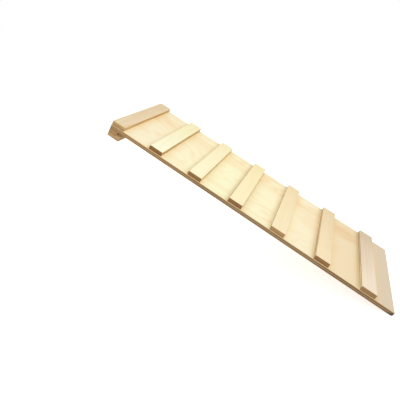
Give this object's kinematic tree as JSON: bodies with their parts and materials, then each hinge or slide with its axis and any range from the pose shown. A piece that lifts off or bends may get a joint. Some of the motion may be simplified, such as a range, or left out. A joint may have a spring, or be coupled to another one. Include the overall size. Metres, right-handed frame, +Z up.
{
  "type": "climbing ramp",
  "caption": "Inclined plywood climbing ramp for small children, with flat slats across its top and a stepped hook under its upper end.",
  "frame": {"origin": "on the floor, in the middle of the ramp's outline seen from above", "axes": "+X runs down the slope along the floor, +Y across the ramp, +Z up; the foot stands on Z = 0"},
  "size_m": [1.1742, 0.44, 0.5882],
  "materials": {
    "deck_plywood": "pale plywood under a clear matt finish",
    "slat_plywood": "pale plywood under a clear matt finish",
    "hook_plywood": "pale plywood under a clear matt finish",
    "screw_steel": "yellow passivated zinc plate"
  },
  "bodies": {
    "root": {"deck_board": "deck_plywood", "slat_1": "slat_plywood", "slat_2": "slat_plywood", "slat_3": "slat_plywood", "slat_4": "slat_plywood", "slat_5": "slat_plywood", "slat_6": "slat_plywood", "slat_7": "slat_plywood", "hook_spacer": "hook_plywood", "hook_lip": "hook_plywood", "slat_1_screws": "screw_steel", "slat_2_screws": "screw_steel", "slat_3_screws": "screw_steel", "slat_4_screws": "screw_steel", "slat_5_screws": "screw_steel", "slat_6_screws": "screw_steel", "slat_7_screws": "screw_steel", "hook_screws": "screw_steel"}
  },
  "joints": []
}
